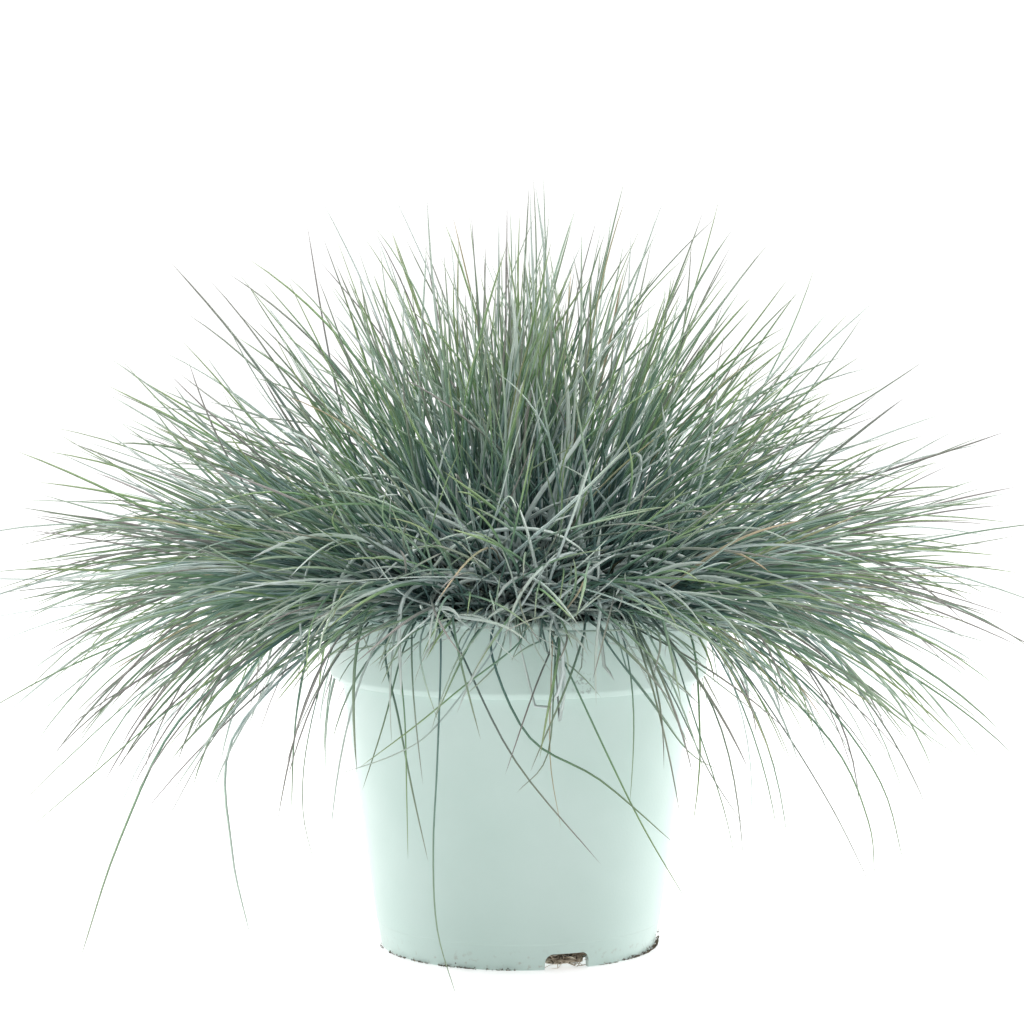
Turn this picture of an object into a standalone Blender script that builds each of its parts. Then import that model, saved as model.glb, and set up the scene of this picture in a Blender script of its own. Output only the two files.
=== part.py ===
"""Blue fescue clump in a round plastic nursery pot, at its real size.

Metres, +Z up. The origin is the centre of the pot's foot, on the surface it stands on. -Y is the front.
The pot holds the soil, the crown of the plant sits on the soil, and the tufts of leaves stand on the crown.
Touching pieces keep a gap of JOIN_GAP, because each one is a closed solid of its own.
"""
import math
import random

import bmesh
import bpy
from mathutils import Vector, noise

# Driving dimensions, in metres and degrees
JOIN_GAP = 0.0003

POT_HEIGHT = 0.153
RIM_RADIUS = 0.085
COLLAR_DEPTH = 0.033
COLLAR_FOOT_RADIUS = 0.0837
BODY_TOP_RADIUS = 0.0782
FOOT_RADIUS = 0.0616
WALL = 0.0011
FLOOR_UNDERSIDE = 0.0035
FOOT_RING_WIDTH = 0.0030
POT_SIDES = 48

NOTCH_COUNT = 3
NOTCH_FIRST_AZIMUTH = -70
NOTCH_WIDTH = 0.020
NOTCH_HEIGHT = 0.0070
DRAIN_HOLE_COUNT = 5
DRAIN_HOLE_RADIUS = 0.005
DRAIN_HOLE_CIRCLE = 0.032

SOIL_TOP = 0.141
SOIL_LUMP = 0.0014
CROWN_RADIUS = 0.048
CROWN_HEIGHT = 0.024

# One row of tufts for each height on the crown: name, count, first azimuth, lean above the horizon,
# leaf length, how far the leaf ends droop below the lean they start with, and bends in each prong
TUFT_ROWS = (
    ("skirt_tuft", 12, 15, 27, 0.206, 94, 4),
    ("side_tuft", 12, 0, 40, 0.200, 54, 3),
    ("rising_tuft", 9, 10, 57, 0.192, 34, 3),
    ("upright_tuft", 6, 35, 70, 0.184, 20, 3),
    ("heart_tuft", 2, 80, 84, 0.178, 8, 3),
)
# The lower part of a tuft is one lock: the share of its length reached, half its width and half its height
LOCK_SECTIONS = ((0.00, 0.0037, 0.0036), (0.12, 0.0056, 0.0042), (0.36, 0.0150, 0.0078))
PRONGS_IN_TUFT = 5
PRONG_SPREAD_SIDEWAYS = 0.034
PRONG_SPREAD_UPWARDS = 0.019
DROOP_POWER = 1.35
SEED = 32

# Long leaves that hang over the rim: the azimuth where each crosses the rim, then its points beyond it
HANGING_LEAF_RADIUS = 0.0011
HANGING_LEAVES = {
    "hanging_leaf_01": (-115, (-0.0325, -0.0975, 0.1465), (-0.0337, -0.112, 0.0992), (-0.0352, -0.121, 0.0633),
                        (-0.0334, -0.128, 0.0316), (-0.0252, -0.134, 0.0045)),
    "hanging_leaf_02": (-111, (-0.0230, -0.098, 0.1400), (-0.0011, -0.108, 0.0977), (0.0343, -0.116, 0.0558)),
    "hanging_leaf_03": (-84, (0.0160, -0.0965, 0.1440), (0.0376, -0.110, 0.0989), (0.0519, -0.115, 0.0706),
                        (0.0688, -0.118, 0.0420)),
    "hanging_leaf_04": (-96, (-0.0110, -0.0975, 0.1400), (0.0046, -0.108, 0.1077), (0.0334, -0.113, 0.0910),
                        (0.0646, -0.117, 0.0647)),
    "hanging_leaf_05": (-124, (-0.0500, -0.090, 0.1450), (-0.0471, -0.104, 0.1147), (-0.0462, -0.110, 0.0822),
                        (-0.0457, -0.113, 0.0577)),
    "hanging_leaf_06": (-153, (-0.1000, -0.078, 0.1450), (-0.1407, -0.100, 0.1141), (-0.1646, -0.112, 0.0659),
                        (-0.1808, -0.118, 0.0170)),
    "hanging_leaf_07": (-146, (-0.0850, -0.074, 0.1430), (-0.1191, -0.100, 0.1057), (-0.1187, -0.108, 0.0610),
                        (-0.1112, -0.112, 0.0262)),
    "hanging_leaf_08": (-32, (0.0900, -0.070, 0.1440), (0.1298, -0.095, 0.1050), (0.1454, -0.100, 0.0722),
                        (0.1481, -0.104, 0.0477)),
    "hanging_leaf_09": (122, (-0.0640, 0.092, 0.1460), (-0.0860, 0.120, 0.1120), (-0.0930, 0.132, 0.0800),
                        (-0.0940, 0.138, 0.0460)),
    "hanging_leaf_10": (60, (0.0580, 0.096, 0.1460), (0.0700, 0.124, 0.1060), (0.0760, 0.136, 0.0720),
                        (0.0740, 0.141, 0.0300)),
}


def clear_scene():
    for obj in list(bpy.data.objects):
        bpy.data.objects.remove(obj, do_unlink=True)


def plain_material(name, colour, roughness):
    material = bpy.data.materials.new(name)
    material.use_nodes = True
    shader = material.node_tree.nodes["Principled BSDF"]
    shader.inputs["Base Color"].default_value = (*colour, 1.0)
    shader.inputs["Roughness"].default_value = roughness
    shader.inputs["Metallic"].default_value = 0.0
    return material


def add_object(name, mesh, material):
    obj = bpy.data.objects.new(name, mesh)
    bpy.context.scene.collection.objects.link(obj)
    if material:
        mesh.materials.append(material)
    return obj


def mesh_of(name, corners, faces):
    """A closed mesh with its faces turned outwards."""
    mesh = bpy.data.meshes.new(name)
    mesh.from_pydata([tuple(c) for c in corners], [], faces)
    shape = bmesh.new()
    shape.from_mesh(mesh)
    bmesh.ops.recalc_face_normals(shape, faces=shape.faces)
    shape.to_mesh(mesh)
    shape.free()
    mesh.shade_smooth()
    mesh.set_sharp_from_angle(angle=math.radians(35))
    return mesh


def radial(azimuth):
    """Unit vector that points outwards at an azimuth in degrees, 0 at +X and -90 at the front."""
    turn = math.radians(azimuth)
    return Vector((math.cos(turn), math.sin(turn), 0))


# Pot: one thin-walled moulding, turned from its profile


def body_radius(z):
    """Outer radius of the tapered wall below the collar."""
    share = z / (POT_HEIGHT - COLLAR_DEPTH)
    return FOOT_RADIUS + (BODY_TOP_RADIUS - FOOT_RADIUS) * share


def pot_profile():
    """(radius, height) up the outside, over the rim and down the inside to the middle of the floor."""
    collar_foot = POT_HEIGHT - COLLAR_DEPTH
    ledge_rise = 0.0016
    bead = 0.0016
    floor_top = FLOOR_UNDERSIDE + WALL
    ring_inside = FOOT_RADIUS - FOOT_RING_WIDTH
    inner_collar = COLLAR_FOOT_RADIUS - WALL
    inner_ledge = BODY_TOP_RADIUS - WALL
    return [
        (0, FLOOR_UNDERSIDE),
        (ring_inside - 0.0004, FLOOR_UNDERSIDE),
        (ring_inside, 0),
        (FOOT_RADIUS - 0.0006, 0),
        (FOOT_RADIUS, 0.0008),
        (body_radius(0.0088), 0.0088),
        (body_radius(0.0092) + 0.0003, 0.0092),
        (body_radius(collar_foot) + 0.0003, collar_foot),
        (COLLAR_FOOT_RADIUS - 0.0008, collar_foot),
        (COLLAR_FOOT_RADIUS, collar_foot + ledge_rise),
        (RIM_RADIUS - 0.0006, POT_HEIGHT - 2 * bead),
        (RIM_RADIUS, POT_HEIGHT - bead),
        (RIM_RADIUS - 0.0006, POT_HEIGHT),
        (RIM_RADIUS - 0.0006 - bead, POT_HEIGHT),
        (RIM_RADIUS - 0.0010 - bead, POT_HEIGHT - 2 * bead),
        (inner_collar, collar_foot + WALL + ledge_rise),
        (inner_ledge, collar_foot + WALL),
        (body_radius(floor_top) - WALL, floor_top),
        (0, floor_top),
    ]


def turned_mesh(name, profile, sides):
    """Turns a profile whose first and last points lie on the axis."""
    corners = [Vector((0, 0, profile[0][1]))]
    for radius, z in profile[1:-1]:
        for step in range(sides):
            corners.append(radial(360 * step / sides) * radius + Vector((0, 0, z)))
    corners.append(Vector((0, 0, profile[-1][1])))
    rings = len(profile) - 2
    last = len(corners) - 1
    faces = []
    for step in range(sides):
        after = (step + 1) % sides
        faces.append((0, 1 + after, 1 + step))
        for ring in range(rings - 1):
            low = 1 + ring * sides
            high = low + sides
            faces.append((low + step, low + after, high + after, high + step))
        top = 1 + (rings - 1) * sides
        faces.append((top + step, top + after, last))
    return mesh_of(name, corners, faces)


def notch_outline():
    """Half-round-cornered arch that a drainage notch cuts in the foot, as (sideways, height)."""
    half = NOTCH_WIDTH / 2
    shoulder = 0.0035
    below = -0.004
    points = [(-half, below), (-half, NOTCH_HEIGHT - shoulder)]
    for step in range(1, 4):
        turn = math.radians(180 - 22.5 * step)
        points.append((-half + shoulder + shoulder * math.cos(turn),
                       NOTCH_HEIGHT - shoulder + shoulder * math.sin(turn)))
    return points + [(-x, z) for x, z in reversed(points)]


def add_pot_cutter():
    """The drainage notches in the foot and the round holes in the floor, as one cutting mesh."""
    corners = []
    faces = []

    def add_prism(ring_low, ring_high):
        start = len(corners)
        count = len(ring_low)
        corners.extend(ring_low)
        corners.extend(ring_high)
        faces.append(tuple(range(start, start + count)))
        faces.append(tuple(range(start + 2 * count - 1, start + count - 1, -1)))
        for step in range(count):
            after = (step + 1) % count
            faces.append((start + step, start + count + step, start + count + after, start + after))

    for index in range(NOTCH_COUNT):
        azimuth = NOTCH_FIRST_AZIMUTH + index * 360 / NOTCH_COUNT
        out = radial(azimuth)
        side = radial(azimuth + 90)
        rings = []
        for radius in (FOOT_RADIUS - FOOT_RING_WIDTH - 0.003, FOOT_RADIUS + 0.006):
            rings.append([out * radius + side * x + Vector((0, 0, z)) for x, z in notch_outline()])
        add_prism(*rings)
    for index in range(DRAIN_HOLE_COUNT):
        centre = radial(index * 360 / DRAIN_HOLE_COUNT) * DRAIN_HOLE_CIRCLE
        rings = []
        for z in (-0.002, FLOOR_UNDERSIDE + 3 * WALL):
            rings.append([centre + radial(36 * step) * DRAIN_HOLE_RADIUS + Vector((0, 0, z))
                          for step in range(10)])
        add_prism(*rings)
    cutter = add_object("drainage_cutter", mesh_of("drainage_cutter", corners, faces), None)
    cutter.hide_render = True
    cutter.display_type = "WIRE"
    return cutter


def add_pot(material):
    pot = add_object("pot", turned_mesh("pot", pot_profile(), POT_SIDES), material)
    cut = pot.modifiers.new("drainage", "BOOLEAN")
    cut.operation = "DIFFERENCE"
    cut.solver = "EXACT"
    cut.object = add_pot_cutter()


# Soil: the root ball, which fills the pot to a little below the rim


def add_soil(material):
    floor_top = FLOOR_UNDERSIDE + WALL
    gap = WALL + JOIN_GAP
    wall_top = POT_HEIGHT - COLLAR_DEPTH + WALL
    sides = 32
    profile = [
        (0, floor_top + JOIN_GAP),
        (body_radius(floor_top) - gap - 0.0006, floor_top + JOIN_GAP),
        (BODY_TOP_RADIUS - gap - 0.0002, wall_top),
        (COLLAR_FOOT_RADIUS - gap - 0.0008, wall_top + 0.0030),
        (COLLAR_FOOT_RADIUS - gap - 0.0008, SOIL_TOP - 0.0010),
        (0.0740, SOIL_TOP),
        (0.0630, SOIL_TOP),
        (CROWN_RADIUS, SOIL_TOP),
        (0, SOIL_TOP),
    ]
    mesh = turned_mesh("soil", profile, sides)
    for corner in mesh.vertices:
        reach = math.hypot(corner.co.x, corner.co.y)
        if corner.co.z == mesh.vertices[-1].co.z and 0.05 < reach < 0.079:
            corner.co.z += SOIL_LUMP * noise.noise(corner.co * 90)
    add_object("soil", mesh, material)


# Crown: the dome of shoot bases that the leaves grow from


def add_crown(material):
    steps = 6
    base = SOIL_TOP + JOIN_GAP
    profile = [(0, base), (CROWN_RADIUS * 0.97, base)]
    for step in range(1, steps):
        turn = math.radians(90 * step / steps)
        profile.append((CROWN_RADIUS * math.cos(turn), base + CROWN_HEIGHT * math.sin(turn)))
    profile.append((0, base + CROWN_HEIGHT))
    return add_object("crown", turned_mesh("crown", profile, 24), material)


# Tufts: each is a lock of leaves that parts into PRONGS_IN_TUFT long points


def root_of_tuft(crown, direction):
    """Where a tuft that grows straight out of the dome meets it, JOIN_GAP clear of its facets."""
    flat = math.hypot(direction.x, direction.y)
    size = math.hypot(CROWN_RADIUS * flat, CROWN_HEIGHT * direction.z)
    out = Vector((direction.x, direction.y, 0)) * CROWN_RADIUS ** 2 / size
    root = out + Vector((0, 0, SOIL_TOP + JOIN_GAP + CROWN_HEIGHT ** 2 * direction.z / size))
    reach = max(corner.co.dot(direction) for corner in crown.data.vertices)
    return root + direction * (reach + JOIN_GAP - root.dot(direction))


def droop_curve(root, azimuth, lean, length, droop):
    """The tuft's centre line as a function of share, which gives (point, sideways, upwards)."""
    out = radial(azimuth)
    side = radial(azimuth + 90)
    steps = 60
    points = [root]
    leans = []
    for step in range(steps):
        share = (step + 0.5) / steps
        turn = math.radians(lean - droop * share ** DROOP_POWER)
        leans.append(turn)
        ahead = out * math.cos(turn) + Vector((0, 0, math.sin(turn)))
        points.append(points[-1] + ahead * length / steps)
    leans.append(leans[-1])

    def at(share):
        place = share * steps
        index = min(int(place), steps - 1)
        point = points[index].lerp(points[index + 1], place - index)
        turn = leans[index]
        upwards = out * -math.sin(turn) + Vector((0, 0, math.cos(turn)))
        return point, side, upwards

    return at


def tuft_mesh(name, line, bends, rng):
    count = PRONGS_IN_TUFT
    corners = []
    faces = []
    first_turn = rng.uniform(0, 2 * math.pi)
    turns = [first_turn + 2 * math.pi * step / count for step in range(count)]
    for share, half_width, half_height in LOCK_SECTIONS:
        point, side, upwards = line(share)
        for turn in turns:
            corners.append(point + side * math.cos(turn) * half_width + upwards * math.sin(turn) * half_height)
    faces.append(tuple(range(count)))
    for section in range(1, len(LOCK_SECTIONS)):
        high = section * count
        low = high - count
        for step in range(count):
            after = (step + 1) % count
            faces.append((low + step, low + after, high + after, high + step))
    split = len(corners) - count
    corners.append(line(LOCK_SECTIONS[-1][0])[0])
    for step in range(count):
        outline = (split + step, split + (step + 1) % count, split + count)
        add_prong(corners, faces, outline, line, turns[step] + math.pi / count, bends, rng)
    return mesh_of(name, corners, faces)


def add_prong(corners, faces, outline, line, heading, bends, rng):
    """Draws one facet of the lock's end out into a long point that heads away from the centre line."""
    split_share = LOCK_SECTIONS[-1][0]
    split_point, split_side, split_up = line(split_share)
    middle = sum((corners[i] for i in outline), Vector()) / 3
    section = []
    for i in outline:
        off = (corners[i] - middle) * 0.78
        section.append((off.dot(split_side), off.dot(split_up)))
    start_off = middle - split_point
    offset = Vector((start_off.dot(split_side), start_off.dot(split_up)))
    away = Vector((math.cos(heading) * PRONG_SPREAD_SIDEWAYS, math.sin(heading) * PRONG_SPREAD_UPWARDS))
    away *= rng.uniform(0.8, 1.1)
    end = rng.uniform(0.88, 1.0)
    previous = outline
    for step in range(bends):
        part = step / bends
        share = split_share + 0.02 + (end - split_share) * part
        point, side, upwards = line(share)
        aside = offset + away * part
        width = (1 - part) ** 1.15
        start = len(corners)
        for across, above in section:
            corners.append(point + side * (aside.x + across * width) + upwards * (aside.y + above * width))
        ring = (start, start + 1, start + 2)
        for edge in range(3):
            after = (edge + 1) % 3
            faces.append((previous[edge], previous[after], ring[after], ring[edge]))
        previous = ring
    point, side, upwards = line(end)
    aside = offset + away
    tip = len(corners)
    corners.append(point + side * aside.x + upwards * aside.y)
    for edge in range(3):
        faces.append((previous[edge], previous[(edge + 1) % 3], tip))


def add_tufts(crown, material):
    rng = random.Random(SEED)
    for row, count, first, lean, length, droop, bends in TUFT_ROWS:
        for index in range(count):
            azimuth = first + index * 360 / count
            own_lean = lean + rng.uniform(-2, 2)
            direction = radial(azimuth) * math.cos(math.radians(own_lean))
            direction.z = math.sin(math.radians(own_lean))
            root = root_of_tuft(crown, direction)
            own_length = length * rng.uniform(0.95, 1.0)
            line = droop_curve(root, azimuth, own_lean, own_length, droop * rng.uniform(0.9, 1.1))
            name = f"{row}_{index + 1:02d}"
            add_object(name, tuft_mesh(name, line, bends, rng), material)


# Hanging leaves: single long leaves that lean over the rim and fall beside the pot


def smooth_line(knots, steps):
    """Points on a smooth curve through the knots."""
    ends = [knots[0] * 2 - knots[1], *knots, knots[-1] * 2 - knots[-2]]
    points = []
    for index in range(1, len(ends) - 2):
        before, start, stop, after = ends[index - 1:index + 3]
        for step in range(steps):
            t = step / steps
            points.append(0.5 * (2 * start + (stop - before) * t
                                 + (2 * before - 5 * start + 4 * stop - after) * t ** 2
                                 + (3 * start - before - 3 * stop + after) * t ** 3))
    return points + [knots[-1]]


def add_hanging_leaves(crown, material):
    for name, (azimuth, *places) in HANGING_LEAVES.items():
        knots = [Vector(place) for place in places]
        direction = radial(azimuth) * math.cos(math.radians(12))
        direction.z = math.sin(math.radians(12))
        root = root_of_tuft(crown, direction)
        over_rim = radial(azimuth) * RIM_RADIUS + Vector((0, 0, POT_HEIGHT + 0.0035))
        points = smooth_line([root, over_rim, *knots], 3)
        corners = []
        faces = [(0, 1, 2)]
        for index, point in enumerate(points[:-1]):
            ahead = (points[index + 1] - points[max(index - 1, 0)]).normalized()
            if index == 0:
                ahead = direction
            side = ahead.cross(Vector((0, 0, 1))).normalized()
            upwards = side.cross(ahead)
            width = HANGING_LEAF_RADIUS * (1 - 0.75 * index / len(points))
            for turn in (90, 210, 330):
                angle = math.radians(turn)
                corners.append(point + (side * math.cos(angle) + upwards * math.sin(angle)) * width)
            if index:
                low = 3 * (index - 1)
                for edge in range(3):
                    after = (edge + 1) % 3
                    faces.append((low + edge, low + after, low + 3 + after, low + 3 + edge))
        corners.append(points[-1])
        last = len(corners) - 1
        for edge in range(3):
            faces.append((last - 3 + edge, last - 3 + (edge + 1) % 3, last))
        add_object(name, mesh_of(name, corners, faces), material)


clear_scene()
mint_plastic = plain_material("mint_plastic", (0.60, 0.78, 0.72), 0.45)
peat = plain_material("peat", (0.10, 0.07, 0.05), 0.95)
leaf_sheath = plain_material("leaf_sheath", (0.22, 0.26, 0.17), 0.8)
blue_leaf = plain_material("blue_leaf", (0.30, 0.42, 0.39), 0.6)
add_pot(mint_plastic)
add_soil(peat)
plant_crown = add_crown(leaf_sheath)
add_tufts(plant_crown, blue_leaf)
add_hanging_leaves(plant_crown, blue_leaf)
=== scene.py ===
import math
import random

import bpy
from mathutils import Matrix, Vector, noise


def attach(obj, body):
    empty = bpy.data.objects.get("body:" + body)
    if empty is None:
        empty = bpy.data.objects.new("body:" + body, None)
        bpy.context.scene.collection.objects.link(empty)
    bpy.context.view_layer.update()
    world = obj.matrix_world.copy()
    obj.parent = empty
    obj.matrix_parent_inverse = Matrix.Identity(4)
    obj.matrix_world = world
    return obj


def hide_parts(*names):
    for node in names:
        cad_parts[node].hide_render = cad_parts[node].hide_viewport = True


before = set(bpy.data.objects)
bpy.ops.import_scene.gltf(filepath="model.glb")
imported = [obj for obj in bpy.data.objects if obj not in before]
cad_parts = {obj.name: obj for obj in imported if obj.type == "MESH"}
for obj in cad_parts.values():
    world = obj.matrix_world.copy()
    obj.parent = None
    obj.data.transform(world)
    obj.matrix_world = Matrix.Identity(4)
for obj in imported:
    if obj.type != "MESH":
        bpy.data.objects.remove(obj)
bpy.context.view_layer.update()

scene = bpy.context.scene

# Studio: the plant stands on a white table in front of a white wall, lit softly from both sides and from
# behind, so that the leaves read dark against white and the sides of the pot glow.
camera = bpy.data.objects.new("camera", bpy.data.cameras.new("camera"))
scene.collection.objects.link(camera)
camera.data.sensor_width = 36
camera.data.lens = 113.7
camera.location = (-0.0028, -1.4331, 0.3001)
camera.rotation_euler = (math.radians(90 - 4.263), 0, 0)
camera.data.clip_start, camera.data.clip_end = 0.05, 60
scene.camera = camera
scene.view_settings.view_transform = "Standard"

world = bpy.data.worlds.new("studio_white")
world.use_nodes = True
scene.world = world
sky = world.node_tree
split_sky = sky.nodes.new("ShaderNodeSeparateXYZ")
sky.links.new(sky.nodes.new("ShaderNodeTexCoord").outputs["Generated"], split_sky.inputs[0])
brightness = sky.nodes.new("ShaderNodeMapRange")
brightness.inputs["From Min"].default_value, brightness.inputs["From Max"].default_value = -0.9, 0.5
brightness.inputs["To Min"].default_value, brightness.inputs["To Max"].default_value = 0.30, 1.15
sky.links.new(split_sky.outputs["Y"], brightness.inputs["Value"])
sky.links.new(brightness.outputs["Result"], sky.nodes["Background"].inputs["Strength"])
sky.nodes["Background"].inputs["Color"].default_value = (1, 1, 1, 1)


def link_mesh(name, corners, faces):
    """A mesh object at the origin."""
    mesh = bpy.data.meshes.new(name)
    mesh.from_pydata([tuple(corner) for corner in corners], [], faces)
    made = bpy.data.objects.new(name, mesh)
    scene.collection.objects.link(made)
    return made


floor = link_mesh("floor", [(-9, -9, -0.0004), (9, -9, -0.0004), (9, 9, -0.0004), (-9, 9, -0.0004)], [(0, 1, 2, 3)])
white_table = bpy.data.materials.new("white_table")
white_table.use_nodes = True
table_shader = white_table.node_tree.nodes["Principled BSDF"]
table_shader.inputs["Base Color"].default_value = (0.5, 0.5, 0.5, 1)
table_shader.inputs["Roughness"].default_value = 0.6
table_shader.inputs["Emission Color"].default_value = (1, 1, 1, 1)
table_shader.inputs["Emission Strength"].default_value = 0.62
floor.data.materials.append(white_table)

SOFT_LAMPS = (
    # name, place, what it points at, width, power in watts
    ("left_back_lamp", (-1.7, 0.7, 0.9), (0, 0, 0.12), 1.2, 28),
    ("right_back_lamp", (1.7, 0.7, 0.9), (0, 0, 0.12), 1.2, 30),
    ("top_lamp", (0.0, 0.0, 2.0), (0, 0, 0.15), 2.6, 44),
)
for name, place, target, width, power in SOFT_LAMPS:
    lamp = bpy.data.objects.new(name, bpy.data.lights.new(name, "AREA"))
    scene.collection.objects.link(lamp)
    lamp.data.size = width
    lamp.data.energy = power
    lamp.location = place
    lamp.rotation_euler = (Vector(target) - Vector(place)).to_track_quat("-Z", "Y").to_euler()

# Pot: one injection-moulded nursery pot of thin pale mint plastic. Its collar stands proud of the tapered
# body, a fine step runs round above the foot, and three notches in the foot let water out.
POT_SIDES = 160
POT_HEIGHT = 0.153
RIM_RADIUS = 0.085
FOOT_RADIUS = 0.0616
COLLAR_FOOT = 0.120
POT_WALL = 0.0011
STEP_HEIGHT = 0.0112
# radius, height and rounding of each corner, from the middle of the underside over the rim to the floor inside
POT_OUTLINE = (
    (0, 0.0035, 0), (0.0582, 0.0035, 0.0006), (0.0586, 0, 0.0004), (0.0612, 0, 0.0005),
    (0.06305, STEP_HEIGHT, 0.0002), (0.06335, STEP_HEIGHT + 0.0005, 0.0002), (0.0784, COLLAR_FOOT, 0.0005),
    (0.0818, COLLAR_FOOT, 0.0006), (0.0838, COLLAR_FOOT + 0.0024, 0.0008), (0.0846, 0.1502, 0.0006),
    (0.0850, 0.1510, 0.0006), (0.0850, POT_HEIGHT, 0.0007), (0.0826, POT_HEIGHT, 0.0007),
    (0.0823, 0.1505, 0.0006), (0.0822, COLLAR_FOOT + 0.0030, 0.0006), (0.0771, COLLAR_FOOT + POT_WALL, 0.0005),
    (0.0612, 0.0048, 0.0010), (0, 0.0046, 0),
)


def rounded(outline, steps=4):
    """The outline with each corner turned into a small arc."""
    points = [Vector(outline[0][:2])]
    for before, corner, after in zip(outline, outline[1:], outline[2:]):
        here, rounding = Vector(corner[:2]), corner[2]
        back = Vector(before[:2]) - here
        ahead = Vector(after[:2]) - here
        start = here + back.normalized() * min(rounding, back.length * 0.45)
        end = here + ahead.normalized() * min(rounding, ahead.length * 0.45)
        for step in range(steps + 1):
            t = step / steps
            points.append(start * (1 - t) ** 2 + here * 2 * t * (1 - t) + end * t ** 2)
    return points + [Vector(outline[-1][:2])]


def turned(name, outline, sides):
    """Turns an outline whose ends lie on the axis into a closed round solid."""
    corners = [Vector((0, 0, outline[0].y))]
    for radius, height in outline[1:-1]:
        for side in range(sides):
            turn = 2 * math.pi * side / sides
            corners.append(Vector((radius * math.cos(turn), radius * math.sin(turn), height)))
    corners.append(Vector((0, 0, outline[-1].y)))
    rings = len(outline) - 2
    faces = []
    for side in range(sides):
        after = (side + 1) % sides
        faces.append((0, 1 + after, 1 + side))
        for ring in range(rings - 1):
            low, high = 1 + ring * sides, 1 + (ring + 1) * sides
            faces.append((low + side, low + after, high + after, high + side))
        top = 1 + (rings - 1) * sides
        faces.append((top + side, top + after, len(corners) - 1))
    return link_mesh(name, corners, faces)


def notch_cutter(width, height, shoulder, first_azimuth, count):
    """Arched bars that cross the foot ring, one for each drainage notch."""
    arch = [(-width / 2, -0.004), (-width / 2, height - shoulder)]
    for step in range(1, 9):
        turn = math.pi - math.pi / 2 * step / 8
        arch.append((-width / 2 + shoulder * (1 + math.cos(turn)), height - shoulder * (1 - math.sin(turn))))
    arch += [(-across, up) for across, up in reversed(arch)]
    corners, faces = [], []
    for index in range(count):
        azimuth = math.radians(first_azimuth + 360 * index / count)
        out = Vector((math.cos(azimuth), math.sin(azimuth), 0))
        side = Vector((-out.y, out.x, 0))
        start = len(corners)
        for radius in (0.0555, 0.0680):
            corners += [out * radius + side * across + Vector((0, 0, up)) for across, up in arch]
        size = len(arch)
        faces.append(tuple(start + i for i in range(size)))
        faces.append(tuple(start + 2 * size - 1 - i for i in range(size)))
        for i in range(size):
            j = (i + 1) % size
            faces.append((start + i, start + size + i, start + size + j, start + j))
    return link_mesh("notch_cutter", corners, faces)


def plain_copy(made):
    """Puts the evaluated mesh in place of the object's mesh and drops its modifiers."""
    depsgraph = bpy.context.evaluated_depsgraph_get()
    mesh = bpy.data.meshes.new_from_object(made.evaluated_get(depsgraph), depsgraph=depsgraph)
    made.modifiers.clear()
    made.data = mesh
    mesh.name = made.name
    return made


def hue(code):
    """Linear colour from a six-figure colour code."""
    parts = [int(code[i:i + 2], 16) / 255 for i in (0, 2, 4)]
    return (*[p / 12.92 if p < 0.04045 else ((p + 0.055) / 1.055) ** 2.4 for p in parts], 1.0)


def new_material(name, roughness):
    """A Principled material, and its node tree and shader."""
    material = bpy.data.materials.new(name)
    material.use_nodes = True
    shader = material.node_tree.nodes["Principled BSDF"]
    shader.inputs["Roughness"].default_value = roughness
    return material, material.node_tree, shader


def add_node(tree, kind, settings=None, inputs=None):
    """Adds a node. An input takes a number, a colour or another node's socket."""
    node = tree.nodes.new(kind)
    for key, value in (settings or {}).items():
        setattr(node, key, value)
    for key, value in (inputs or {}).items():
        socket = node.inputs[key] if isinstance(key, int) else next(
            s for s in node.inputs if s.enabled and s.name == key)
        if isinstance(value, bpy.types.NodeSocket):
            tree.links.new(value, socket)
        else:
            socket.default_value = value
    return node


def noise_on_object(tree, scale, detail, places=None):
    """Noise in the object's own coordinates, as a value from 0 to 1."""
    places = places or add_node(tree, "ShaderNodeTexCoord").outputs["Object"]
    return add_node(tree, "ShaderNodeTexNoise", inputs={
        "Vector": places, "Scale": scale, "Detail": detail}).outputs["Fac"]


def map_range(tree, value, low, high, to_low=0.0, to_high=1.0):
    return add_node(tree, "ShaderNodeMapRange", inputs={
        "Value": value, "From Min": low, "From Max": high, "To Min": to_low, "To Max": to_high}).outputs["Result"]


def mix_colours(tree, share, first, second, blend="MIX"):
    return add_node(tree, "ShaderNodeMixRGB", {"blend_type": blend},
                    {"Fac": share, "Color1": first, "Color2": second}).outputs["Color"]


def add_bump(tree, shader, height, strength, distance):
    bump = add_node(tree, "ShaderNodeBump", inputs={"Height": height, "Strength": strength, "Distance": distance})
    tree.links.new(bump.outputs["Normal"], shader.inputs["Normal"])


mint_plastic, tree, shader = new_material("mint_plastic", 0.34)
shader.inputs["Sheen Weight"].default_value = 0.25
shader.inputs["Sheen Roughness"].default_value = 0.4
places = add_node(tree, "ShaderNodeTexCoord").outputs["Object"]
split = add_node(tree, "ShaderNodeSeparateXYZ", inputs={"Vector": places})
cloud = noise_on_object(tree, 18, 3, places)
mint = mix_colours(tree, map_range(tree, cloud, 0.35, 0.65), hue("bad0c9"), hue("c0d4ce"))
near_foot = map_range(tree, split.outputs["Z"], 0.010, 0.0, 0.0, 0.55)
specks = map_range(tree, noise_on_object(tree, 420, 4, places), 0.58, 0.70)
dusty = add_node(tree, "ShaderNodeMath", {"operation": "MULTIPLY"}, {0: near_foot, 1: specks}).outputs[0]
mint = mix_colours(tree, dusty, mint, hue("8a7a66"))
smear_place = add_node(tree, "ShaderNodeVectorMath", {"operation": "DISTANCE"}, {
    0: places, 1: (0.0275, -0.0795, 0.1263)}).outputs["Value"]
wisps = map_range(tree, noise_on_object(tree, 700, 3, places), 0.52, 0.60, 0.0, 0.6)
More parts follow.
